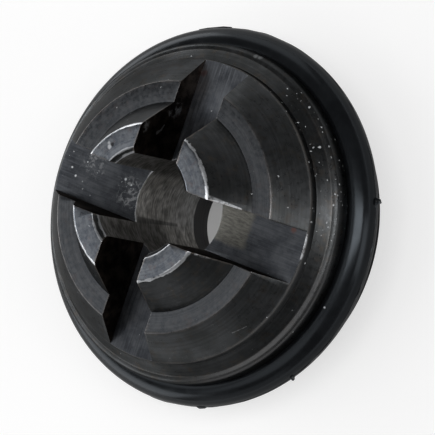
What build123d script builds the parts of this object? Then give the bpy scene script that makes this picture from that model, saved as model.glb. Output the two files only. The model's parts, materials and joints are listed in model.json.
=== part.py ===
from build123d import *

import os

# A sealing hub: a turned metal hub with a stepped, cross-slotted front, and a rubber ring
# stretched into its groove. Millimetres. The hub stands on its rear face. The origin is the
# centre of that face and +Z runs along the bore, towards the slotted front.

# Rubber ring: free inner radius, cord diameter, and how it sits in the hub's groove.
ring_inner_radius = 12.0
ring_cord = 3.0
ring_stretch = 0.1
ring_squeeze = 0.05
ring_stand_out = 1.7
groove_clearance = 0.1

# Nubs of moulding flash on the ring's outer equator, each with its azimuth in degrees, its
# width and how far it stands out.
nub_thickness = 0.3
nub_root_depth = 0.4
nub_taper = 0.6
flash_nubs = [
    (22.7, 0.62, 0.5),
    (110.7, 3.0, 0.1),
    (288.7, 0.9, 0.15),
    (321.7, 0.36, 0.3),
]

# Bore, with a chamfer at its front mouth and a relief at its rear end.
bore_radius = 4.0
bore_chamfer = 0.4
relief_step = 0.25
relief_depth = 2.1

# Rear boss and the flange behind the groove.
boss_radius = 10.0
boss_height = 2.1
boss_chamfer = 0.4
flange_thickness = 2.05
flange_chamfer = 0.3

# Lip in front of the groove, the 45 degree flank and the rim.
lip_thickness = 1.35
lip_width = 0.55
lip_rise = 0.1
lip_chamfer = 0.15
flank_width = 0.8
rim_height = 0.8
edge_break = 0.1

# Stepped front, from the rim inwards.
outer_cone_width = 2.15
outer_cone_height = 2.45
middle_land_width = 1.65
inner_cone_width = 2.0
inner_cone_height = 3.15
inner_land_edge_width = 0.3
inner_land_edge_height = 0.2

# Two slots cross the front at right angles, their floor just above the rim's edge.
slot_width = 4.2
slot_floor_lift = 0.1

# Worked out from the sizes above.
groove_floor_radius = ring_inner_radius + ring_stretch
ring_path_radius = groove_floor_radius - ring_squeeze + ring_cord / 2
ring_outer_radius = ring_path_radius + ring_cord / 2
flange_radius = ring_outer_radius - ring_stand_out
relief_radius = bore_radius + relief_step

groove_bottom = boss_height + flange_thickness
groove_top = groove_bottom + ring_cord + 2 * groove_clearance
ring_height = (groove_bottom + groove_top) / 2

lip_height = groove_top + lip_thickness
crease_radius = flange_radius - lip_width
crease_height = lip_height + lip_rise
rim_radius = crease_radius - flank_width
rim_bottom = crease_height + flank_width
rim_top = rim_bottom + rim_height

middle_land_radius = rim_radius - outer_cone_width
middle_land_height = rim_top + outer_cone_height
inner_cone_foot_radius = middle_land_radius - middle_land_width
inner_cone_top_radius = inner_cone_foot_radius - inner_cone_width
inner_cone_top = middle_land_height + inner_cone_height
inner_land_radius = inner_cone_top_radius - inner_land_edge_width
inner_land_height = inner_cone_top + inner_land_edge_height
slot_floor = rim_top + slot_floor_lift


# The hub is turned from bar: one profile about the bore's axis, then the slots are milled.
with BuildPart() as slotted_hub:
    with BuildSketch(Plane.XZ) as hub_section:
        with BuildLine():
            Polyline(
                (relief_radius, 0),
                (boss_radius, 0),
                (boss_radius, boss_height),
                (flange_radius, boss_height),
                (flange_radius, groove_bottom),
                (groove_floor_radius, groove_bottom),
                (groove_floor_radius, groove_top),
                (flange_radius, groove_top),
                (flange_radius, lip_height),
                (crease_radius, crease_height),
                (rim_radius, rim_bottom),
                (rim_radius, rim_top),
                (middle_land_radius, middle_land_height),
                (inner_cone_foot_radius, middle_land_height),
                (inner_cone_top_radius, inner_cone_top),
                (inner_land_radius, inner_land_height),
                (bore_radius + bore_chamfer, inner_land_height),
                (bore_radius, inner_land_height - bore_chamfer),
                (bore_radius, relief_depth),
                (relief_radius, relief_depth),
                close=True,
            )
        make_face()
        outer_corners = hub_section.vertices().group_by(Axis.X)[-1].sort_by(Axis.Y)
        chamfer(outer_corners[0], flange_chamfer)
        chamfer(outer_corners[-1], lip_chamfer)
        rear_corners = hub_section.vertices().group_by(Axis.Y)[0].sort_by(Axis.X)
        chamfer(rear_corners[-1], boss_chamfer)
        for land_corner in ((rim_radius, rim_top), (middle_land_radius, middle_land_height)):
            chamfer(hub_section.vertices().sort_by_distance(land_corner)[0], edge_break)
    revolve(axis=Axis.Z)
    with BuildSketch(Plane.XY.offset(slot_floor)):
        Rectangle(2 * flange_radius, slot_width)
        Rectangle(slot_width, 2 * flange_radius)
    extrude(amount=inner_land_height - slot_floor, mode=Mode.SUBTRACT)
slotted_hub.part.label = "slotted_hub"


# The ring is moulded: a round section, flattened where it bears on the groove's floor, with
# nubs of flash left where the mould parted.
with BuildPart() as rubber_ring:
    with BuildSketch(Plane.XZ) as ring_section:
        with Locations((ring_path_radius, ring_height)):
            Circle(ring_cord / 2)
        with Locations((groove_floor_radius, ring_height)):
            Rectangle(
                ring_cord,
                ring_cord,
                align=(Align.MAX, Align.CENTER),
                mode=Mode.SUBTRACT,
            )
    revolve(axis=Axis.Z)
    with BuildSketch(Plane.XY.offset(ring_height - nub_thickness / 2)):
        for azimuth, width, length in flash_nubs:
            with PolarLocations(ring_outer_radius, 1, start_angle=azimuth):
                Polygon(
                    (-nub_root_depth, -width / 2),
                    (length, -width * nub_taper / 2),
                    (length, width * nub_taper / 2),
                    (-nub_root_depth, width / 2),
                    align=None,
                )
    extrude(amount=nub_thickness)
rubber_ring.part.label = "rubber_ring"

os.makedirs("parts", exist_ok=True)
export_step(slotted_hub.part, "parts/slotted_hub.step")
export_step(rubber_ring.part, "parts/rubber_ring.step")
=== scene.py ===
import json
import math

import bmesh
import bpy
from mathutils import Matrix, Vector, noise


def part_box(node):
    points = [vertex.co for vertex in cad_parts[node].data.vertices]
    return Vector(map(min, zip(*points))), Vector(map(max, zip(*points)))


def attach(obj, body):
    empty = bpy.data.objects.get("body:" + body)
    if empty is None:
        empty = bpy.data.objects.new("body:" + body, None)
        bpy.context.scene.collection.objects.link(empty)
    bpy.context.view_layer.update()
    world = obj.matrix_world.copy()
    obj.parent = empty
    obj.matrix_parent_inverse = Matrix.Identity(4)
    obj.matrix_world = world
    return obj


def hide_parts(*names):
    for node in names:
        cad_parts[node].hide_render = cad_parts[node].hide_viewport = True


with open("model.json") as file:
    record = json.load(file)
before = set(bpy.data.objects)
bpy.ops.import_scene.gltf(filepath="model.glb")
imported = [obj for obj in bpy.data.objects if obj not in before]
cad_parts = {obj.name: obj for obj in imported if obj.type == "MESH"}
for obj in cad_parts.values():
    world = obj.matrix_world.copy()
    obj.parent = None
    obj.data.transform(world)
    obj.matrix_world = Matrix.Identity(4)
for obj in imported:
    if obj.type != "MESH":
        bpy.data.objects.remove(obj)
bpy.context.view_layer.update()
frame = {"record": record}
mm = 0.001

# ---------------------------------------------------------------- sizes, from the frame

hub_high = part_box("slotted_hub")[1]
ring_low, ring_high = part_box("rubber_ring")
mounts = {mount["name"]: mount for mount in frame["record"]["mounts"]}
slot_opening = frame["record"]["physics"]["openings"][0]["box_m"]
opening_to_wall = 0.05 * mm  # how far the record's opening stops short of the slot's walls

flange_radius = hub_high[0]
hub_top = hub_high[2]
ring_outer_radius = ring_high[0]
ring_height = (ring_low[2] + ring_high[2]) / 2
ring_cord = ring_high[2] - ring_low[2]
bore_radius = mounts["bore"]["dims"]["r_mm"] * mm
slot_floor = mounts["driver_slots"]["pos_m"][2]
slot_half_width = slot_opening[1][1] + opening_to_wall

# The rear boss, the flange and the groove.
relief_radius = bore_radius + 0.25 * mm
relief_mouth_radius = relief_radius - 0.2 * mm
relief_mouth_height = 0.3 * mm
relief_depth = 2.1 * mm
boss_radius = 10 * mm
boss_height = 2.1 * mm
groove_clearance = 0.1 * mm
groove_bottom = ring_low[2] - groove_clearance
groove_top = ring_high[2] + groove_clearance
groove_floor_radius = ring_outer_radius - ring_cord + 0.05 * mm

# The lip, the flank and the rim.
lip_radius = flange_radius + 0.08 * mm
lip_height = groove_top + 1.35 * mm
crease_radius = lip_radius - 0.55 * mm
crease_height = lip_height + 0.1 * mm
rim_radius = crease_radius - 0.88 * mm
rim_bottom = crease_height + 0.8 * mm
rim_top = slot_floor - 0.1 * mm

# The stepped front.
middle_land_height = hub_top - 3.35 * mm
middle_land_radius = rim_radius - 2.15 * mm
inner_cone_foot_radius = middle_land_radius - 1.65 * mm
inner_cone_top_radius = inner_cone_foot_radius - 2 * mm
inner_cone_top = hub_top - 0.13 * mm
inner_land_radius = inner_cone_top_radius - 0.18 * mm
bore_chamfer = 0.4 * mm
mouth_radius = bore_radius + bore_chamfer
mouth_foot = hub_top - bore_chamfer

# Heights and sides that the finishes are laid out by, in millimetres as the materials are.
front_level = hub_top / mm
land_level = middle_land_height / mm
rim_level = rim_top / mm
floor_level = slot_floor / mm
wall_side = slot_half_width / mm


# ---------------------------------------------------------------- colours


def rgb(red, green, blue):
    return (red, green, blue, 1.0)


def grey(level):
    return rgb(level, level, level)


EDGE_TINT = grey(0.5)
WORN_STEEL = rgb(0.5, 0.51, 0.52)
# Bare worn steel, which on the front land's edges is also a painted highlight.
BARE_STEEL_AND_HIGHLIGHT = rgb(0.8, 0.82, 0.85)
RUBBED_BROWN = rgb(0.22, 0.19, 0.165)
# Painted highlight on the lip's edge.
LIP_HIGHLIGHT = rgb(0.14, 0.14, 0.142)
DARK_PIT = grey(0.02)
# Painted shadow: the dark line along the bore below one slot's corner.
SHADOW_LINE = grey(0.08)
RUST = rgb(0.16, 0.055, 0.035)

DUST = rgb(0.62, 0.64, 0.66)
DUST_ROUGHNESS = 0.8

# The two tones that a finish wanders between, and the brown of its stains.
CONE_TONES = (rgb(0.062, 0.065, 0.066), rgb(0.09, 0.094, 0.098))
CONE_STAIN = rgb(0.075, 0.062, 0.05)
LAND_TONES = (rgb(0.065, 0.07, 0.077), rgb(0.098, 0.102, 0.109))
LAND_STAIN = rgb(0.11, 0.085, 0.078)
FRONT_TONES = (rgb(0.11, 0.122, 0.142), rgb(0.19, 0.203, 0.222))
FRONT_STAIN = rgb(0.19, 0.14, 0.13)
FLOOR_TONES = (rgb(0.05, 0.054, 0.062), rgb(0.085, 0.09, 0.099))
BRUSHED_TONES = (rgb(0.088, 0.086, 0.076), rgb(0.2, 0.194, 0.172))
# Painted shade: the slot walls' tones, darker than the floors' steel.
SHADED_WALL_TONES = (rgb(0.014, 0.012, 0.011), rgb(0.06, 0.048, 0.04))
BORE_TONES = (rgb(0.5, 0.485, 0.46), rgb(0.78, 0.765, 0.74))
# Painted shade: the bore's wider rear end, much darker than the bore.
SHADED_RELIEF_TONES = (rgb(0.12, 0.12, 0.122), rgb(0.2, 0.2, 0.204))
RUBBER_TONES = (rgb(0.003, 0.0032, 0.0038), rgb(0.0055, 0.006, 0.0068))
RUBBER_SHEEN = rgb(0.8, 0.9, 1.0)
TORN_RUBBER = rgb(0.3, 0.3, 0.29)


# ---------------------------------------------------------------- shader helpers


class Nodes:
    """Adds nodes to one node tree and links them, so that a material reads top to bottom."""

    def __init__(self, tree):
        self.tree = tree

    def add(self, kind, inputs=None, **settings):
        """A new node. Its settings come first, since they decide which sockets it has."""
        node = self.tree.nodes.new(kind)
        for name, value in settings.items():
            setattr(node, name, value)
        for name, value in (inputs or {}).items():
            self.feed(node.inputs[name], value)
        return node

    def feed(self, socket, value):
        """Links a socket's value, or sets a plain one."""
        if isinstance(value, bpy.types.NodeSocket):
            self.tree.links.new(value, socket)
        else:
            socket.default_value = value

    def group(self, tree, inputs):
        return self.add("ShaderNodeGroup", inputs, node_tree=tree).outputs

    def math(self, operation, first, second=0.0, third=0.0, clamp=False):
        inputs = {0: first, 1: second, 2: third}
        return self.add("ShaderNodeMath", inputs, operation=operation, use_clamp=clamp).outputs[0]

    def times(self, first, second):
        return self.math("MULTIPLY", first, second)

    def largest(self, values):
        total = values[0]
        for value in values[1:]:
            total = self.math("MAXIMUM", total, value)
        return total

    def close_to(self, value, target, reach):
        """1 where a value is within reach of a target, otherwise 0."""
        return self.math("COMPARE", value, target, reach)

    def between(self, value, low, high, to_low=0.0, to_high=1.0):
        """A smooth step: to_low under low, to_high over high."""
        inputs = {"Value": value, "From Min": low, "From Max": high, "To Min": to_low, "To Max": to_high}
        return self.add("ShaderNodeMapRange", inputs, interpolation_type="SMOOTHSTEP").outputs["Result"]

    def mix(self, kind, amount, first, second):
        inputs = {"Factor": amount, "A": first, "B": second}
        return self.add("ShaderNodeMix", inputs, data_type=kind).outputs["Result"]

    def mix_colour(self, amount, first, second):
        return self.mix("RGBA", amount, first, second)

    def mix_value(self, amount, first, second):
        return self.mix("FLOAT", amount, first, second)

    def vector(self, operation, first, second):
        return self.add("ShaderNodeVectorMath", {0: first, 1: second}, operation=operation).outputs

    def scaled(self, vector, amount):
        """A vector or a colour times an amount."""
        inputs = {0: vector, "Scale": amount}
        return self.add("ShaderNodeVectorMath", inputs, operation="SCALE").outputs["Vector"]

    def split(self, vector):
        return self.add("ShaderNodeSeparateXYZ", {"Vector": vector}).outputs

    def joined(self, x, y, z=0.0):
        return self.add("ShaderNodeCombineXYZ", {"X": x, "Y": y, "Z": z}).outputs["Vector"]

    def clouds(self, place, scale, detail, roughness=0.5, distortion=0.0):
        """Soft noise: a value from 0 to 1, mostly near the middle."""
        inputs = {"Vector": place, "Scale": scale, "Detail": detail}
        inputs |= {"Roughness": roughness, "Distortion": distortion}
        return self.add("ShaderNodeTexNoise", inputs).outputs["Fac"]


def new_group(name, inputs, outputs):
    """A shader group with its sockets, the Nodes to fill it with, what comes in and what goes
    out. Everything that it puts out is a value."""
    tree = bpy.data.node_groups.new(name, "ShaderNodeTree")
    kinds = {"value": "NodeSocketFloat", "vector": "NodeSocketVector"}
    for label, kind in inputs.items():
        tree.interface.new_socket(label, in_out="INPUT", socket_type=kinds[kind])
    for label in outputs:
        tree.interface.new_socket(label, in_out="OUTPUT", socket_type=kinds["value"])
    nodes = Nodes(tree)
    source = nodes.add("NodeGroupInput")
    sink = nodes.add("NodeGroupOutput")
    return tree, nodes, source.outputs, sink.inputs


def new_material(name):
    material = bpy.data.materials.new(name)
    material.use_nodes = True
    material.node_tree.nodes.clear()
    nodes = Nodes(material.node_tree)
    output = nodes.add("ShaderNodeOutputMaterial")
    shader = nodes.add("ShaderNodeBsdfPrincipled")
    nodes.feed(output.inputs["Surface"], shader.outputs["BSDF"])
    return material, nodes, shader.inputs


# ---------------------------------------------------------------- shared effects


def measures_effect():
    """How far a point is from the bore's axis, how high it is, and how far it is along and
    across the nearer slot."""
    tree, nodes, source, sink = new_group(
        "measures",
        {"Position": "vector"},
        ["Radius", "Height", "Along", "Across"],
    )
    x, y, z = nodes.split(source["Position"])
    squares = nodes.math("ADD", nodes.times(x, x), nodes.times(y, y))
    size_x = nodes.math("ABSOLUTE", x)
    size_y = nodes.math("ABSOLUTE", y)
    nodes.feed(sink["Radius"], nodes.math("SQRT", squares))
    nodes.feed(sink["Height"], z)
    nodes.feed(sink["Along"], nodes.math("MAXIMUM", size_x, size_y))
    nodes.feed(sink["Across"], nodes.math("MINIMUM", size_x, size_y))
    return tree


def turning_marks_effect():
    """Fine circular tool marks: a value from 0 to 1 that changes with the distance the tool
    has moved and, more slowly, on the way round."""
    tree, nodes, source, sink = new_group(
        "turning_marks",
        {"Position": "vector", "Distance": "value", "Marks per mm": "value", "Breaks per mm": "value"},
        ["Value"],
    )
    x, y = nodes.split(source["Position"])[:2]
    place = nodes.joined(
        nodes.times(x, source["Breaks per mm"]),
        nodes.times(y, source["Breaks per mm"]),
        nodes.times(source["Distance"], source["Marks per mm"]),
    )
    nodes.feed(sink["Value"], nodes.clouds(place, scale=1.0, detail=1.0))
    return tree


def edge_wear_effect():
    """Wear along an edge: 1 on the edge, 0 beyond a width that wanders."""
    tree, nodes, source, sink = new_group(
        "edge_wear",
        {"Position": "vector", "Offset": "value", "Width": "value"},
        ["Mask"],
    )
    wander = nodes.clouds(source["Position"], scale=1.1, detail=4.0, roughness=0.65)
    reach = nodes.times(source["Width"], nodes.between(wander, 0.35, 0.65, 0.25, 1.35))
    share = nodes.math("DIVIDE", nodes.math("ABSOLUTE", source["Offset"]), reach)
    nodes.feed(sink["Mask"], nodes.between(share, 0.35, 1.0, 1.0, 0.0))
    return tree


def spot_effect():
    """A ragged spot: 1 at its centre, 0 beyond its radius."""
    tree, nodes, source, sink = new_group(
        "spot",
        {"Position": "vector", "Centre": "vector", "Radius": "value"},
        ["Mask"],
    )
    gap = nodes.vector("DISTANCE", source["Position"], source["Centre"])["Value"]
    share = nodes.math("DIVIDE", gap, source["Radius"])
    ragged = nodes.clouds(source["Position"], scale=2.2, detail=4.0, roughness=0.7)
    uneven = nodes.math("MULTIPLY_ADD", ragged, 1.2, share)
    nodes.feed(sink["Mask"], nodes.between(uneven, 0.9, 1.5, 1.0, 0.0))
    return tree


def specks_effect():
    """Scattered small specks of dust, more of them for a higher share."""
    tree, nodes, source, sink = new_group(
        "specks",
        {"Position": "vector", "Cells per mm": "value", "Size": "value", "Share": "value"},
        ["Mask"],
    )
    bend = nodes.add("ShaderNodeTexNoise", {"Vector": source["Position"], "Scale": 7.0, "Detail": 1.0})
    bent = nodes.scaled(bend.outputs["Color"], 0.16)
    place = nodes.vector("ADD", source["Position"], bent)["Vector"]
    cells = nodes.add(
        "ShaderNodeTexVoronoi",
        {"Vector": place, "Scale": source["Cells per mm"], "Randomness": 1.0},
    ).outputs
    hue = nodes.add("ShaderNodeSeparateColor", {"Color": cells["Color"]}).outputs
    size = nodes.times(source["Size"], nodes.between(hue["Green"], 0.0, 1.0, 0.3, 1.0))
    close = nodes.between(nodes.math("DIVIDE", cells["Distance"], size), 0.6, 1.0, 1.0, 0.0)
    chosen = nodes.math("LESS_THAN", hue["Red"], source["Share"])
    faded = nodes.times(chosen, nodes.between(hue["Blue"], 0.0, 1.0, 0.35, 1.0))
    nodes.feed(sink["Mask"], nodes.times(close, faded))
    return tree


def streaks_effect():
    """Fine scratches that run one way: a value from 0 to 1."""
    tree, nodes, source, sink = new_group(
        "streaks",
        {"Along": "value", "Across": "value", "Level": "value", "Lines per mm": "value"},
        ["Value"],
    )
    place = nodes.joined(
        nodes.times(source["Along"], 0.35),
        nodes.times(source["Across"], source["Lines per mm"]),
        source["Level"],
    )
    lines = nodes.clouds(place, scale=1.0, detail=4.0, roughness=0.65, distortion=0.25)
    nodes.feed(sink["Value"], lines)
    return tree


def scratch_effect():
    """One thin scratch between two points: 1 on its line, 0 beyond its width."""
    tree, nodes, source, sink = new_group(
        "scratch",
        {"Position": "vector", "Start": "vector", "End": "vector", "Width": "value"},
        ["Mask"],
    )
    run = nodes.vector("SUBTRACT", source["End"], source["Start"])["Vector"]
    reach = nodes.vector("SUBTRACT", source["Position"], source["Start"])["Vector"]
    squared = nodes.vector("DOT_PRODUCT", run, run)["Value"]
    covered = nodes.vector("DOT_PRODUCT", reach, run)["Value"]
    share = nodes.math("DIVIDE", covered, squared, clamp=True)
    gap = nodes.vector("DISTANCE", reach, nodes.scaled(run, share))["Value"]
    thinned = nodes.times(source["Width"], nodes.between(share, 0.0, 1.0, 1.0, 0.5))
    nodes.feed(sink["Mask"], nodes.between(nodes.math("DIVIDE", gap, thinned), 0.4, 1.0, 1.0, 0.0))
    return tree


measures = measures_effect()
turning_marks = turning_marks_effect()
edge_wear = edge_wear_effect()
spot = spot_effect()
specks = specks_effect()
streaks = streaks_effect()
scratch = scratch_effect()


# ---------------------------------------------------------------- effects, as the finishes use them


def position_in_mm(nodes):
    return nodes.scaled(nodes.add("ShaderNodeTexCoord").outputs["Object"], 1 / mm)


def located(nodes):
    """A point's position in millimetres, and its measures."""
    position = position_in_mm(nodes)
    return position, nodes.group(measures, {"Position": position})


def tool_marks(nodes, position, distance, per_mm, breaks=0.12):
    inputs = {"Position": position, "Distance": distance}
    inputs |= {"Marks per mm": per_mm, "Breaks per mm": breaks}
    return nodes.group(turning_marks, inputs)["Value"]


def scattered_dust(nodes, position, share, cells_per_mm=3.6, size=0.3):
    inputs = {"Position": position, "Cells per mm": cells_per_mm, "Size": size, "Share": share}
    return nodes.group(specks, inputs)["Mask"]


def worn_edge(nodes, position, offset, width):
    return nodes.group(edge_wear, {"Position": position, "Offset": offset, "Width": width})["Mask"]


def spots(nodes, position, places):
    """The largest of several spots, each given as a centre in millimetres and a radius."""
    masks = []
    for centre, radius in places:
        inputs = {"Position": position, "Centre": centre, "Radius": radius}
        masks.append(nodes.group(spot, inputs)["Mask"])
    return nodes.largest(masks)


def scratches(nodes, position, lines):
    """The largest of several scratches, each given as two ends in millimetres and a width."""
    masks = []
    for start, end, width in lines:
        inputs = {"Position": position, "Start": start, "End": end, "Width": width}
        masks.append(nodes.group(scratch, inputs)["Mask"])
    return nodes.largest(masks)


def set_steel(nodes, shader, colour, roughness, height, bump=0.1, dust=None):
    """Dark steel: its colour, roughness and relief, with dust lying on it where there is any."""
    shader["Specular Tint"].default_value = EDGE_TINT
    if dust is None:
        shader["Metallic"].default_value = 1.0
    else:
        colour = nodes.mix_colour(dust, colour, DUST)
        roughness = nodes.mix_value(dust, roughness, DUST_ROUGHNESS)
        nodes.feed(shader["Metallic"], nodes.math("SUBTRACT", 1.0, dust))
    nodes.feed(shader["Base Color"], colour)
    nodes.feed(shader["Roughness"], roughness)
    inputs = {"Strength": bump, "Distance": 0.02 * mm, "Height": height}
    nodes.feed(shader["Normal"], nodes.add("ShaderNodeBump", inputs).outputs["Normal"])


# ---------------------------------------------------------------- the hub's finishes


def turned_edges(nodes, position, here, edges):
    """The largest of the wear on several turned edges, each given as its radius and height,
    a width in millimetres and a strength."""
    worn = []
    for edge_radius, edge_height, width, strength in edges:
        offset = nodes.math("SUBTRACT", here["Radius"], edge_radius / mm)
        near = nodes.close_to(here["Height"], edge_height / mm, 0.22)
        edge = nodes.times(worn_edge(nodes, position, offset, width), near)
        worn.append(nodes.times(edge, strength))
    return nodes.largest(worn)


def edge_wear_and_highlight(nodes, position, here):
    """Bright wear on the front land's edges, partly a painted highlight, and brown wear on the edges
    further back and where the slots cut through."""
    x, y = nodes.split(position)[:2]
    kept_mouth = nodes.between(nodes.math("ADD", x, y), 2.0, 4.0, 0.6, 0.0)
    bright_edges = [
        (inner_cone_top_radius - 0.06 * mm, hub_top, 0.15, 1.0),
        (mouth_radius, hub_top, 0.12, kept_mouth),
        (bore_radius + 0.04 * mm, mouth_foot, 0.12, kept_mouth),
    ]
    brown_edges = [
        (middle_land_radius, middle_land_height, 0.16, 0.2),
        (rim_radius, rim_top, 0.16, 0.22),
        (crease_radius, crease_height, 0.1, 0.06),
    ]
    wear_and_highlight = turned_edges(nodes, position, here, bright_edges)
    brown = turned_edges(nodes, position, here, brown_edges)
    beside_slot = nodes.math("SUBTRACT", here["Across"], wall_side)
    slot_edge = worn_edge(nodes, position, beside_slot, 0.16)
    above_floor = nodes.between(here["Height"], floor_level, front_level - 0.4, 0.0, 0.5)
    brown = nodes.math("MAXIMUM", brown, nodes.times(slot_edge, above_floor))
    return wear_and_highlight, brown


def blackened_colours(nodes, position, here, grain):
    """Nearly black cones, with painted shade below the rim's edge and on the inner one, a slightly
    paler middle land and a bluish front land, each with its brown stains."""
    height = here["Height"]
    patina = nodes.clouds(position, scale=0.45, detail=4.0, roughness=0.6)
    stains = nodes.clouds(position, scale=1.3, detail=3.0, roughness=0.65)
    cone = nodes.mix_colour(nodes.between(patina, 0.35, 0.65), *CONE_TONES)
    # Painted shade: the colour is darker below the rim's edge and on the inner cone.
    shade_below_rim = nodes.between(height, rim_level - 0.05, rim_level, 0.68, 1.0)
    inner_cone_shade = nodes.between(height, land_level + 0.05, land_level + 0.3, 1.0, 0.6)
    cone = nodes.scaled(cone, nodes.times(shade_below_rim, inner_cone_shade))
    cone = nodes.mix_colour(nodes.between(stains, 0.5, 0.75, 0.0, 0.5), cone, CONE_STAIN)

    speckled = nodes.between(grain, 0.3, 0.7)
    reddened = nodes.between(stains, 0.55, 0.7, 0.0, 0.35)
    land = nodes.mix_colour(speckled, *LAND_TONES)
    land = nodes.mix_colour(nodes.times(reddened, 0.6), land, LAND_STAIN)
    front = nodes.mix_colour(speckled, *FRONT_TONES)
    front = nodes.mix_colour(reddened, front, FRONT_STAIN)
    colour = nodes.mix_colour(nodes.close_to(height, land_level, 0.04), cone, land)
    return nodes.mix_colour(nodes.close_to(height, front_level, 0.05), colour, front)


def painted_lip_highlight(nodes, position, here):
    """A painted highlight: a paler band on the lip's edge, on the near side only."""
    x, y = nodes.split(position)[:2]
    near_side = nodes.between(x, 2.0, 9.0, 0.0, 0.6)
    near_side = nodes.times(near_side, nodes.between(y, -3.0, 2.0, 1.0, 0.0))
    outside = nodes.between(here["Radius"], crease_radius / mm - 0.08, crease_radius / mm + 0.12)
    on_lip = nodes.times(outside, nodes.math("GREATER_THAN", here["Height"], lip_height / mm - 0.3))
    return nodes.times(on_lip, near_side)


def bare_marks(nodes, position, grain):
    """Nicks in the front land, scores on the cones and rubbed corners beside the slots and on
    the rim, where bare steel shows."""
    nicked = spots(
        nodes,
        position,
        [
            ((-4.23, 3.18, front_level), 0.26),
            ((-4.4, 3.45, front_level), 0.2),
            ((5.65, 2.3, 16.05), 0.3),
        ],
    )
    scored = scratches(
        nodes,
        position,
        [
            ((8.7, -7.2, 11.19), (9.58, -6.37, 10.96), 0.06),
            ((5.8, 2.3, 15.98), (7.4, 2.15, 13.65), 0.24),
        ],
    )
    rubbed = scratches(
        nodes,
        position,
        [
            ((6.0, -2.12, 15.6), (7.6, -2.12, 13.0), 0.2),
            ((11.87, 0.1, 10.42), (11.87, 1.9, 10.42), 0.24),
        ],
    )
    scored = nodes.times(scored, nodes.between(grain, 0.36, 0.6, 0.2, 0.7))
    rubbed = nodes.times(rubbed, nodes.between(grain, 0.36, 0.6, 0.2, 1.1))
    return nodes.math("MULTIPLY", nodes.largest([nicked, scored, rubbed]), 0.6, clamp=True)


def front_dust_and_painted_light(nodes, position, here):
    """Specks all over, more of them on one side below the rim's edge, a few larger ones, a thin pale
    film on the rim that is painted light, a thin film on the far side of the inner cone, and a
    smear on the lip."""
    x, y = nodes.split(position)[:2]
    height = here["Height"]
    dusty_side = spots(nodes, position, [((9.0, 8.9, 9.0), 6.5), ((12.2, 4.0, 8.8), 3.5)])
    dusty_side = nodes.times(dusty_side, nodes.math("LESS_THAN", height, rim_level))
    scattered = scattered_dust(nodes, position, nodes.math("MULTIPLY_ADD", dusty_side, 0.4, 0.012))
    large = spots(
        nodes,
        position,
        [
            ((9.43, 8.4, 8.97), 0.17),
            ((7.22, 10.99, 8.74), 0.14),
            ((12.0, -0.27, 9.7), 0.14),
            ((12.16, 4.6, 8.76), 0.12),
            ((8.95, 8.45, 9.2), 0.12),
        ],
    )

    # Painted light: a thin pale film that brightens the rim, more on one side.
    on_rim = nodes.close_to(height, (rim_bottom + rim_top) / 2 / mm, 0.4)
    painted_rim_light = nodes.times(on_rim, nodes.between(y, 0.0, 5.0, 0.1, 0.0))
    on_inner_cone = nodes.close_to(height, (middle_land_height + inner_cone_top) / 2 / mm, 1.5)
    above_foot = nodes.between(height, land_level, land_level + 1.6, 0.3, 1.0)
    far_side = nodes.between(nodes.math("SUBTRACT", y, x), 4.0, 8.0, 0.0, 0.12)
    cone_film = nodes.times(on_inner_cone, nodes.times(far_side, above_foot))
    smeared = spots(nodes, position, [((1.0, 13.22, 8.64), 0.3), ((1.38, 13.26, 8.58), 0.3)])
    return nodes.largest([scattered, large, painted_rim_light, cone_film, nodes.times(smeared, 0.2)])


def turned_steel():
    """The turned and blackened surfaces: dark cones with painted shade below the rim's edge and on
    the inner one, paler lands, bright worn edges that are partly a painted highlight, a painted
    highlight on the lip, nicks and a pit, with specks and a thin film of dust, one part of which
    is painted light on the rim."""
    material, nodes, shader = new_material("turned_steel")
    position, here = located(nodes)
    marks = tool_marks(nodes, position, here["Radius"], 9.0)
    grain = nodes.clouds(position, scale=3.0, detail=2.0, roughness=0.55)

    colour = blackened_colours(nodes, position, here, grain)
    colour = nodes.scaled(colour, nodes.between(marks, 0.3, 0.7, 0.88, 1.12))
    wear_and_highlight, brown = edge_wear_and_highlight(nodes, position, here)
    # Painted highlight on the near side of the lip's edge.
    colour = nodes.mix_colour(painted_lip_highlight(nodes, position, here), colour, LIP_HIGHLIGHT)
    colour = nodes.mix_colour(nodes.times(brown, 0.85), colour, RUBBED_BROWN)
    # Bare wear on the front land's edges, partly a painted highlight.
    colour = nodes.mix_colour(nodes.times(wear_and_highlight, 0.85), colour, BARE_STEEL_AND_HIGHLIGHT)
    colour = nodes.mix_colour(bare_marks(nodes, position, grain), colour, BARE_STEEL_AND_HIGHLIGHT)
    pit = spots(nodes, position, [((-4.05, 3.42, front_level), 0.22)])
    colour = nodes.mix_colour(nodes.times(pit, 0.8), colour, DARK_PIT)

    roughness = nodes.between(grain, 0.3, 0.7, 0.27, 0.35)
    dents = nodes.clouds(position, scale=1.6, detail=1.0)
    relief = nodes.math("MULTIPLY_ADD", marks, 0.5, dents)
    # The dust includes painted light on the rim.
    dust = front_dust_and_painted_light(nodes, position, here)
    set_steel(nodes, shader, colour, roughness, relief, bump=0.12, dust=dust)
    return material


def brushed_patch(nodes, x, y, patches):
    """A paler patch beside the bore with a frayed outline, and the colour of its streaks."""
    wavy_place = nodes.joined(x, nodes.times(y, 4.5))
    wavy = nodes.clouds(wavy_place, scale=1.5, detail=5.0, roughness=0.7, distortion=0.5)
    frayed_end = nodes.math("MULTIPLY_ADD", wavy, 1.1, x)
    frayed_side = nodes.math("MULTIPLY_ADD", patches, 1.0, y)
    patch = nodes.times(nodes.between(x, 3.5, 4.0), nodes.between(frayed_end, 7.1, 7.6, 1.0, 0.0))
    patch = nodes.times(patch, nodes.between(frayed_side, -0.8, -0.3))
    return patch, nodes.mix_colour(nodes.between(wavy, 0.3, 0.7), *BRUSHED_TONES)


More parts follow.
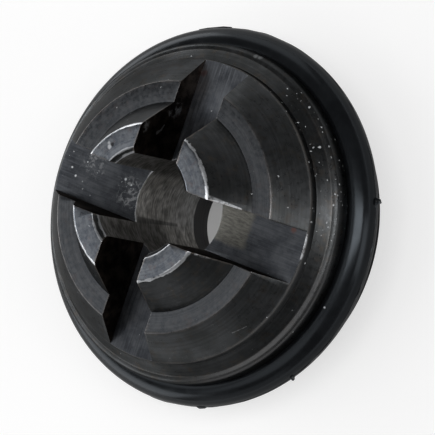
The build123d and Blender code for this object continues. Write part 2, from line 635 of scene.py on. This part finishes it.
def floor_dust(nodes, position):
    """Specks on the slot floors, more of them in one arm, and a few larger ones."""
    dusty = spots(
        nodes,
        position,
        [((-9.9, 0.2, floor_level), 3.0), ((-5.7, 0.7, floor_level), 1.2)],
    )
    large = spots(
        nodes,
        position,
        [
            ((-10.27, -0.48, floor_level), 0.15),
            ((-10.84, 0.06, floor_level), 0.13),
            ((-9.59, 0.89, floor_level), 0.1),
            ((-5.66, 0.73, floor_level), 0.16),
            ((-4.98, 0.46, floor_level), 0.1),
        ],
    )
    scattered = scattered_dust(nodes, position, nodes.math("MULTIPLY_ADD", dusty, 0.2, 0.012))
    return nodes.math("MAXIMUM", scattered, large)


def milled_floor():
    """The slot floors: bare dark steel, finely scratched along the slot, with painted light making
    them paler at one end and painted shade darkening one arm towards the bore, a brushed patch by
    the bore on one side, scuffs on the other, two rust spots and some dust."""
    material, nodes, shader = new_material("milled_floor")
    position, here = located(nodes)
    x, y = nodes.split(position)[:2]
    inputs = {"Along": here["Along"], "Across": here["Across"], "Level": here["Height"]}
    scratched = nodes.group(streaks, inputs | {"Lines per mm": 9.0})["Value"]
    patches = nodes.clouds(position, scale=0.7, detail=6.0, roughness=0.7)

    colour = nodes.mix_colour(nodes.between(patches, 0.35, 0.65), *FLOOR_TONES)
    colour = nodes.scaled(colour, nodes.between(scratched, 0.3, 0.7, 0.8, 1.25))
    # Painted light makes the floors paler at one end, and painted shade darkens one arm towards the
    # bore.
    painted_light_far_end = nodes.between(y, 6.5, 9.5, 1.0, 2.2)
    shaded_arm = nodes.between(x, -8.5, -5.5, 1.0, 0.65)
    shaded_arm = nodes.mix_value(nodes.math("GREATER_THAN", x, -wall_side - 0.1), shaded_arm, 1.0)
    colour = nodes.scaled(colour, nodes.times(painted_light_far_end, shaded_arm))
    brushed, brushed_colour = brushed_patch(nodes, x, y, patches)
    colour = nodes.mix_colour(nodes.times(brushed, 0.85), colour, brushed_colour)

    swirl = nodes.clouds(position, scale=2.0, detail=3.0, roughness=0.6, distortion=1.4)
    scuffed = nodes.times(
        spots(nodes, position, [((-4.9, -0.1, floor_level), 1.9), ((-8.9, 0.8, floor_level), 1.6)]),
        nodes.between(swirl, 0.5, 0.64),
    )
    colour = nodes.mix_colour(nodes.times(scuffed, 0.3), colour, WORN_STEEL)
    beside_bore = nodes.math("SUBTRACT", here["Radius"], bore_radius / mm)
    bore_edge = worn_edge(nodes, position, beside_bore, 0.16)
    rubbed = nodes.times(bore_edge, nodes.between(x, -2.0, -1.0, 0.5, 0.1))
    colour = nodes.mix_colour(rubbed, colour, WORN_STEEL)
    rusty = spots(
        nodes,
        position,
        [((-1.85, 10.7, floor_level), 0.45), ((10.55, 1.85, floor_level), 0.36)],
    )
    colour = nodes.mix_colour(nodes.times(rusty, 0.5), colour, RUST)

    roughness = nodes.between(scratched, 0.3, 0.7, 0.3, 0.42)
    relief = nodes.math("MULTIPLY_ADD", scratched, 0.7, patches)
    relief = nodes.math("MULTIPLY_ADD", scuffed, -0.5, relief)
    dust = floor_dust(nodes, position)
    set_steel(nodes, shader, colour, roughness, relief, bump=0.25, dust=dust)
    return material


def milled_wall():
    """The slot walls: nearly black, painted shade that makes them darker than the floors' steel,
    with a score and two grazes on one of them.
    """
    material, nodes, shader = new_material("milled_wall")
    position = position_in_mm(nodes)
    blotches = nodes.clouds(position, scale=0.9, detail=5.0, roughness=0.7)
    colour = nodes.mix_colour(nodes.between(blotches, 0.4, 0.65), *SHADED_WALL_TONES)
    scored = scratches(
        nodes,
        position,
        [
            ((-wall_side, 5.3, 13.7), (-wall_side, 5.6, 13.3), 0.2),
            ((-wall_side, 5.6, 13.3), (-wall_side, 6.0, 13.1), 0.16),
        ],
    )
    grazed = spots(nodes, position, [((-wall_side, 7.5, 12.4), 1.2), ((-wall_side, 5.6, 15.6), 0.7)])
    grazed = nodes.times(grazed, nodes.between(blotches, 0.5, 0.58))
    colour = nodes.mix_colour(nodes.times(nodes.largest([scored, grazed]), 0.6), colour, WORN_STEEL)
    set_steel(nodes, shader, colour, 0.42, blotches, bump=0.3)
    return material


def bore_steel():
    """The bore: brownish bare steel with fine marks round it and one dark line along it that is a
    painted shadow, darker on two sides near its mouth and dusty low down."""
    material, nodes, shader = new_material("bore_steel")
    position, here = located(nodes)
    height = here["Height"]
    marks = tool_marks(nodes, position, height, 5.5, breaks=1.5)
    stain = nodes.clouds(position, scale=0.9, detail=5.0, roughness=0.65)
    colour = nodes.mix_colour(nodes.between(stain, 0.35, 0.65), *BORE_TONES)
    colour = nodes.scaled(colour, nodes.between(marks, 0.3, 0.7, 0.6, 1.2))

    y = nodes.split(position)["Y"]
    aside = nodes.between(nodes.math("ABSOLUTE", y), 1.2, 2.6)
    shaded = nodes.times(aside, nodes.between(height, 4.5, 8.5))
    colour = nodes.scaled(colour, nodes.between(shaded, 0.0, 1.0, 1.0, 0.42))
    # Painted shadow: a dark line along the bore below one slot's corner.
    line = scratches(nodes, position, [((-3.52, -1.9, 10.3), (-3.6, -1.75, 4.6), 0.34)])
    colour = nodes.mix_colour(nodes.times(line, 0.6), colour, SHADOW_LINE)

    low_down = nodes.between(height, 3.0, 8.0, 0.4, 0.04)
    dust = nodes.times(low_down, nodes.between(marks, 0.3, 0.7, 0.6, 1.3))
    dust = nodes.times(dust, nodes.math("SUBTRACT", 1.0, aside))
    set_steel(nodes, shader, colour, 0.58, marks, bump=0.3, dust=dust)
    return material


def shaded_relief_steel():
    """The wider rear end of the bore: painted shade, coloured much darker than the bore, with
    coarser marks.
    """
    material, nodes, shader = new_material("shaded_relief_steel")
    position, here = located(nodes)
    marks = tool_marks(nodes, position, here["Height"], 4.0)
    colour = nodes.mix_colour(marks, *SHADED_RELIEF_TONES)
    set_steel(nodes, shader, colour, 0.5, marks, bump=0.2)
    return material


# ---------------------------------------------------------------- the rubber


def black_rubber():
    """Smooth moulded rubber, black with a blue cast, pale where the flash has torn, with a few
    specks of dust."""
    material, nodes, shader = new_material("black_rubber")
    position, here = located(nodes)
    bloom = nodes.clouds(position, scale=0.5, detail=5.0, roughness=0.65)
    colour = nodes.mix_colour(nodes.between(bloom, 0.35, 0.65), *RUBBER_TONES)
    torn = nodes.clouds(position, scale=2.5, detail=4.0, roughness=0.7)
    equator = ring_outer_radius / mm
    flash = nodes.times(
        nodes.between(here["Radius"], equator - 0.03, equator + 0.05),
        nodes.between(torn, 0.45, 0.6),
    )
    colour = nodes.mix_colour(nodes.times(flash, 0.3), colour, TORN_RUBBER)
    scattered = scattered_dust(nodes, position, 0.004, cells_per_mm=3.0, size=0.26)
    large = spots(nodes, position, [((13.41, -3.16, 7.23), 0.14)])
    dust = nodes.math("MAXIMUM", scattered, large)
    roughness = nodes.between(bloom, 0.3, 0.7, 0.19, 0.27)
    shader["Specular Tint"].default_value = RUBBER_SHEEN
    shader["Specular IOR Level"].default_value = 0.38
    nodes.feed(shader["Base Color"], nodes.mix_colour(dust, colour, DUST))
    nodes.feed(shader["Roughness"], nodes.mix_value(dust, roughness, DUST_ROUGHNESS))
    return material


# ---------------------------------------------------------------- working the shapes

touching = 0.01 * mm  # places closer than this count as the same


def section_loop(places):
    """A closed loop in the XZ plane through places given as a radius and a height, and its
    points."""
    section = bmesh.new()
    points = [section.verts.new((radius, 0, height)) for radius, height in places]
    for first, second in zip(points, points[1:] + points[:1]):
        section.edges.new((first, second))
    return section, points


def round_off(shape, geometry, size, segments, affect):
    bmesh.ops.bevel(
        shape,
        geom=geometry,
        offset=size,
        offset_type="OFFSET",
        segments=segments,
        profile=0.5,
        affect=affect,
        clamp_overlap=affect == "EDGES",
        material=-1,
    )


def put_in_order(shape):
    """Sorts a shape's edges and faces by the points that they join. A spin makes them in an
    order that changes from run to run, and the cuts and merges after it follow that order."""

    def order(item):
        numbers = [vert.index for vert in item.verts]
        return min(numbers) * 10 * len(shape.verts) + sum(numbers)

    shape.verts.index_update()
    shape.edges.sort(key=order)
    shape.faces.sort(key=order)


def spin_about_bore(shape, steps):
    bmesh.ops.spin(
        shape,
        geom=shape.verts[:] + shape.edges[:],
        cent=(0, 0, 0),
        axis=(0, 0, 1),
        angle=math.tau,
        steps=steps,
        use_merge=True,
    )
    bmesh.ops.remove_doubles(shape, verts=shape.verts[:], dist=0.001 * mm)
    bmesh.ops.recalc_face_normals(shape, faces=shape.faces[:])
    put_in_order(shape)


def finished(name, shape, materials, sharp_angle=28):
    """A mesh object from a bmesh, smooth but for its sharp edges, at the origin."""
    mesh = bpy.data.meshes.new(name)
    shape.to_mesh(mesh)
    shape.free()
    mesh.set_sharp_from_angle(angle=math.radians(sharp_angle))
    for material in materials:
        mesh.materials.append(material)
    piece = bpy.data.objects.new(name, mesh)
    bpy.context.scene.collection.objects.link(piece)
    return piece


# ---------------------------------------------------------------- the hub


def turned_blank():
    """The hub before milling, turned from corners given as a radius, a height and a rounding."""
    corners = [
        (relief_mouth_radius, 0, 0),
        (boss_radius, 0, 0.4 * mm),
        (boss_radius, boss_height, 0),
        (flange_radius, boss_height, 0.3 * mm),
        (flange_radius, groove_bottom, 0.1 * mm),
        (groove_floor_radius, groove_bottom, 0),
        (groove_floor_radius, groove_top, 0),
        (lip_radius, groove_top, 0.1 * mm),
        (lip_radius, lip_height, 0.32 * mm),
        (crease_radius, crease_height, 0.06 * mm),
        (rim_radius, rim_bottom, 0),
        (rim_radius, rim_top, 0.16 * mm),
        (middle_land_radius, middle_land_height, 0.06 * mm),
        (inner_cone_foot_radius, middle_land_height, 0),
        (inner_cone_top_radius, inner_cone_top, 0.07 * mm),
        (inner_land_radius, hub_top, 0.07 * mm),
        (mouth_radius, hub_top, 0.06 * mm),
        (bore_radius, mouth_foot, 0.06 * mm),
        (bore_radius, relief_depth, 0.03 * mm),
        (relief_radius, relief_depth, 0),
        (relief_radius, relief_mouth_height, 0),
    ]
    blank, points = section_loop([corner[:2] for corner in corners])
    for point, corner in zip(points, corners):
        rounding = corner[2]
        if rounding:
            round_off(blank, [point], rounding, segments=3, affect="VERTICES")
    spin_about_bore(blank, steps=192)
    return blank


def within_slots(place, margin=0.0):
    """Whether a place is inside the slots, or no more than a margin outside them."""
    across = min(abs(place.x), abs(place.y))
    return across < slot_half_width + margin and place.z > slot_floor - margin


def mill_slots(hub):
    """Cuts the four arms of the two slots out of the turned blank and closes their walls."""
    planes = [((0, 0, slot_floor), (0, 0, 1))]
    for side in (-1, 1):
        planes.append(((side * slot_half_width, 0, 0), (1, 0, 0)))
        planes.append(((0, side * slot_half_width, 0), (0, 1, 0)))
    for point, normal in planes:
        bmesh.ops.bisect_plane(
            hub,
            geom=hub.verts[:] + hub.edges[:] + hub.faces[:],
            dist=0.0005 * mm,
            plane_co=point,
            plane_no=normal,
        )
    milled = [face for face in hub.faces if within_slots(face.calc_center_median())]
    bmesh.ops.delete(hub, geom=milled, context="FACES")
    rim = [edge for edge in hub.edges if edge.is_boundary]
    ends = [vert for vert in hub.verts if vert.is_boundary and abs(vert.co.z - slot_floor) < touching]
    floor_lines = []
    for across, along in ((0, 1), (1, 0)):
        for side in (-1, 1):
            wall = side * slot_half_width
            on_wall = [vert for vert in ends if abs(vert.co[across] - wall) < touching]
            for arm in (-1, 1):
                line = [vert for vert in on_wall if vert.co[along] * arm > 0]
                line.sort(key=lambda vert: abs(vert.co[along]))
                floor_lines.append(hub.edges.new((line[0], line[-1])))
    bmesh.ops.edgenet_fill(hub, edges=rim + floor_lines)
    bmesh.ops.remove_doubles(hub, verts=hub.verts[:], dist=0.02 * mm)
    bmesh.ops.recalc_face_normals(hub, faces=hub.faces[:])


HUB_FINISHES = ("turned", "slot_floor", "slot_wall", "bore", "relief")


def hub_finish(face):
    """Which of the hub's finishes a face has, by where it is and how it faces."""
    centre = face.calc_center_median()
    radius = math.hypot(centre.x, centre.y)
    if within_slots(centre, touching):
        return "slot_floor" if face.normal.z > 0.9 else "slot_wall"
    if radius < relief_radius + touching and centre.z < relief_depth + touching:
        return "relief"
    if radius < bore_radius + touching:
        return "bore"
    return "turned"


def break_slot_edges(hub):
    """Rounds the outside edges that the milling left."""
    sharp = []
    for edge in hub.edges:
        if len(edge.link_faces) != 2 or not edge.is_convex:
            continue
        kinds = {HUB_FINISHES[face.material_index] for face in edge.link_faces}
        if kinds & {"slot_floor", "slot_wall"} and edge.calc_face_angle(0) > math.radians(20):
            sharp.append(edge)
    round_off(hub, sharp, 0.08 * mm, segments=2, affect="EDGES")


def make_hub():
    hub = turned_blank()
    mill_slots(hub)
    for face in hub.faces:
        face.material_index = HUB_FINISHES.index(hub_finish(face))
    break_slot_edges(hub)
    materials = [turned_steel(), milled_floor(), milled_wall(), bore_steel(), shaded_relief_steel()]
    return finished("hub_body", hub, materials)


# ---------------------------------------------------------------- the rubber ring

# Where the mould parted: a low ridge of flash round the ring, torn in lengths of about a
# millimetre, and nubs with their azimuth in degrees, width, stand-out and thickness.
flash_height = 0.045 * mm
flash_half_thickness = 0.03 * mm
flash_tear_length = 1.3 * mm
flash_nubs = (
    (22.7, 0.62 * mm, 0.5 * mm, 0.3 * mm),
    (110.7, 3.0 * mm, 0.1 * mm, 0.2 * mm),
    (288.7, 0.9 * mm, 0.15 * mm, 0.3 * mm),
    (321.7, 0.36 * mm, 0.3 * mm, 0.3 * mm),
)
nub_root = 0.4 * mm


def ring_section():
    """A round section with a point of flash at its equator and a flat on the groove's floor."""
    cord_radius = ring_cord / 2 - flash_height / 2
    path_radius = ring_outer_radius - flash_height - cord_radius
    bearing_angle = math.acos((groove_floor_radius - path_radius) / cord_radius)
    flash_angle = flash_half_thickness / cord_radius
    half_steps = 22
    step_angle = (bearing_angle - flash_angle) / half_steps
    upper = [flash_angle + step_angle * step for step in range(half_steps + 1)]
    places = []
    for angle in [-angle for angle in reversed(upper)] + upper:
        radius = path_radius + cord_radius * math.cos(angle)
        places.append((radius, ring_height + cord_radius * math.sin(angle)))
        if angle == -flash_angle:
            places.append((ring_outer_radius, ring_height))
    return section_loop(places)[0]


def tear_flash(ring):
    """Draws the ridge of flash in by an amount that wanders round the ring."""
    for vert in ring.verts:
        radius = math.hypot(vert.co.x, vert.co.y)
        if radius > ring_outer_radius - flash_height / 4:
            place = Vector((vert.co.x, vert.co.y, 0)) / flash_tear_length
            loss = flash_height * min(1, max(0, 0.5 + 1.4 * noise.noise(place)))
            vert.co.xy *= (radius - loss) / radius


def add_nub(ring, azimuth, width, length, thickness):
    """One torn nub of flash, rooted in the ring and drawn thinner towards its tip."""
    corners = [(-nub_root, -width / 2), (0, -width / 2), (length, -width / 4)]
    corners += [(length * 0.8, width / 4), (0, width / 2), (-nub_root, width / 2)]
    wedge = bmesh.new()
    base = wedge.faces.new([wedge.verts.new((x, y, -thickness / 2)) for x, y in corners])
    grown = bmesh.ops.extrude_face_region(wedge, geom=[base])["geom"]
    top = [item for item in grown if isinstance(item, bmesh.types.BMVert)]
    bmesh.ops.translate(wedge, verts=top, vec=(0, 0, thickness))
    for vert in wedge.verts:
        vert.co.z *= 1 - 0.6 * max(0, vert.co.x) / length
    round_off(wedge, wedge.edges[:], 0.02 * mm, segments=2, affect="EDGES")
    bmesh.ops.recalc_face_normals(wedge, faces=wedge.faces[:])
    on_equator = Matrix.Translation((ring_outer_radius - flash_height, 0, ring_height))
    seat = Matrix.Rotation(math.radians(azimuth), 4, "Z") @ on_equator
    bmesh.ops.transform(wedge, matrix=seat, verts=wedge.verts[:])
    loose = bpy.data.meshes.new("nub")
    wedge.to_mesh(loose)
    wedge.free()
    ring.from_mesh(loose)
    bpy.data.meshes.remove(loose)


def make_ring():
    ring = ring_section()
    spin_about_bore(ring, steps=288)
    tear_flash(ring)
    for nub in flash_nubs:
        add_nub(ring, *nub)
    return finished("ring_body", ring, [black_rubber()], sharp_angle=40)


# ---------------------------------------------------------------- stage, camera and light

# The camera leans away from the bore's axis towards one side of the hub, and is rolled.
lean_azimuth = math.radians(8.7)
lean = math.radians(33.0)
roll = math.radians(11.3)
camera_lens = 413.8
camera_distance = 389.5 * mm
aim_aside = 2.95241 * mm
aim_down = 0.55309 * mm

# Each lamp's azimuth from the camera's side and its elevation, in degrees, its distance, width
# and height in metres, and how bright its face is.
LAMPS = {
    "tall_front": (12, 61, 0.6, 0.17, 0.54, 4.9),
    "low_right": (0, 13, 0.7, 0.32, 0.32, 1.5),
    "high_near": (-102, 61, 0.6, 0.42, 0.26, 0.7),
    "low_near": (-90, 14, 0.7, 0.5, 0.3, 0.3),
    "high_left": (-172, 63, 0.6, 0.17, 0.5, 0.85),
    "low_left": (180, 14, 0.7, 0.36, 0.34, 4.6),
    "low_left_near": (-140, 20, 0.7, 0.5, 0.4, 1.9),
    "low_left_far": (146, 12, 0.7, 0.4, 0.28, 2.2),
    "low_far": (110, 20, 0.7, 0.4, 0.4, 0.7),
}
lamp_aim = Vector((0, 0, 8 * mm))
surrounding_light = 0.13
backdrop_light = 1.0

floor_half_size = 1.2
floor_drop = 0.03 * mm


def lean_axes():
    """Level directions towards the camera's side of the hub and across it."""
    outward = Vector((math.cos(lean_azimuth), math.sin(lean_azimuth), 0))
    sideways = Vector((-math.sin(lean_azimuth), math.cos(lean_azimuth), 0))
    return outward, sideways


def place_camera():
    outward, sideways = lean_axes()
    upward = Vector((0, 0, 1))
    back = math.sin(lean) * outward + math.cos(lean) * upward
    level = math.cos(lean) * outward - math.sin(lean) * upward
    right = math.cos(roll) * level + math.sin(roll) * sideways
    up = -math.sin(roll) * level + math.cos(roll) * sideways
    data = bpy.data.cameras.new("camera")
    data.sensor_width = 36
    data.lens = camera_lens
    camera = bpy.data.objects.new("camera", data)
    aim = Vector((0, 0, rim_top)) + aim_aside * right - aim_down * up
    rotation = Matrix((right, up, back)).transposed().to_4x4()
    camera.matrix_world = Matrix.Translation(aim + back * camera_distance) @ rotation
    bpy.context.scene.collection.objects.link(camera)
    bpy.context.scene.camera = camera


def place_lamp(name, azimuth, elevation, distance, width, height, radiance):
    """A rectangular lamp that faces the hub."""
    outward, sideways = lean_axes()
    turn = math.radians(azimuth)
    rise = math.radians(elevation)
    level = math.cos(turn) * outward + math.sin(turn) * sideways
    towards = math.cos(rise) * level + math.sin(rise) * Vector((0, 0, 1))
    data = bpy.data.lights.new(name, "AREA")
    data.shape = "RECTANGLE"
    data.size = width
    data.size_y = height
    data.energy = math.pi * width * height * radiance
    lamp = bpy.data.objects.new(name, data)
    lamp.location = lamp_aim + towards * distance
    lamp.rotation_euler = (-towards).to_track_quat("-Z", "Y").to_euler()
    bpy.context.scene.collection.objects.link(lamp)


def pale_floor():
    """A plain pale floor with a glow that shows to the camera, less of it through the bore, where
    that is painted shade, and in reflections of the floor's far part."""
    material = bpy.data.materials.new("pale_floor")
    material.use_nodes = True
    material.node_tree.nodes.clear()
    nodes = Nodes(material.node_tree)
    output = nodes.add("ShaderNodeOutputMaterial")
    path = nodes.add("ShaderNodeLightPath").outputs
    distance = located(nodes)[1]["Radius"]
    # Painted shade: less glow under the part, seen through the bore.
    glow_cut_in_shade = nodes.between(distance, bore_radius / mm, boss_radius / mm, 0.145, 0.6)
    far_floor = nodes.between(distance, 30.0, 120.0, 0.0, 0.5)
    seen = nodes.times(path["Is Camera Ray"], glow_cut_in_shade)
    mirrored = nodes.times(path["Is Glossy Ray"], far_floor)
    strength = nodes.math("ADD", seen, mirrored)
    diffuse = nodes.add("ShaderNodeBsdfDiffuse", {"Color": grey(0.5)})
    glow = nodes.add("ShaderNodeEmission", {"Color": grey(1.0), "Strength": strength})
    both = nodes.add("ShaderNodeAddShader", {0: diffuse.outputs[0], 1: glow.outputs[0]})
    nodes.feed(output.inputs["Surface"], both.outputs[0])
    return material


def make_floor():
    sheet = bmesh.new()
    bmesh.ops.create_grid(sheet, x_segments=1, y_segments=1, size=floor_half_size)
    bmesh.ops.translate(sheet, verts=sheet.verts[:], vec=(0, 0, -floor_drop))
    floor = finished("floor", sheet, [pale_floor()])


def make_world():
    world = bpy.data.worlds.new("studio")
    bpy.context.scene.world = world
    world.use_nodes = True
    world.node_tree.nodes.clear()
    nodes = Nodes(world.node_tree)
    output = nodes.add("ShaderNodeOutputWorld")
    path = nodes.add("ShaderNodeLightPath").outputs
    strength = nodes.mix_value(path["Is Camera Ray"], surrounding_light, backdrop_light)
    background = nodes.add("ShaderNodeBackground", {"Color": grey(1.0), "Strength": strength})
    nodes.feed(output.inputs["Surface"], background.outputs[0])


# ---------------------------------------------------------------- building it all

bpy.context.scene.view_settings.view_transform = "Standard"
place_camera()
make_world()
make_floor()
for lamp_name, lamp_setting in LAMPS.items():
    place_lamp(lamp_name, *lamp_setting)

hub_piece = make_hub()
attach(hub_piece, "root")
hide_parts("slotted_hub")

ring_piece = make_ring()
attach(ring_piece, "root")
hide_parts("rubber_ring")
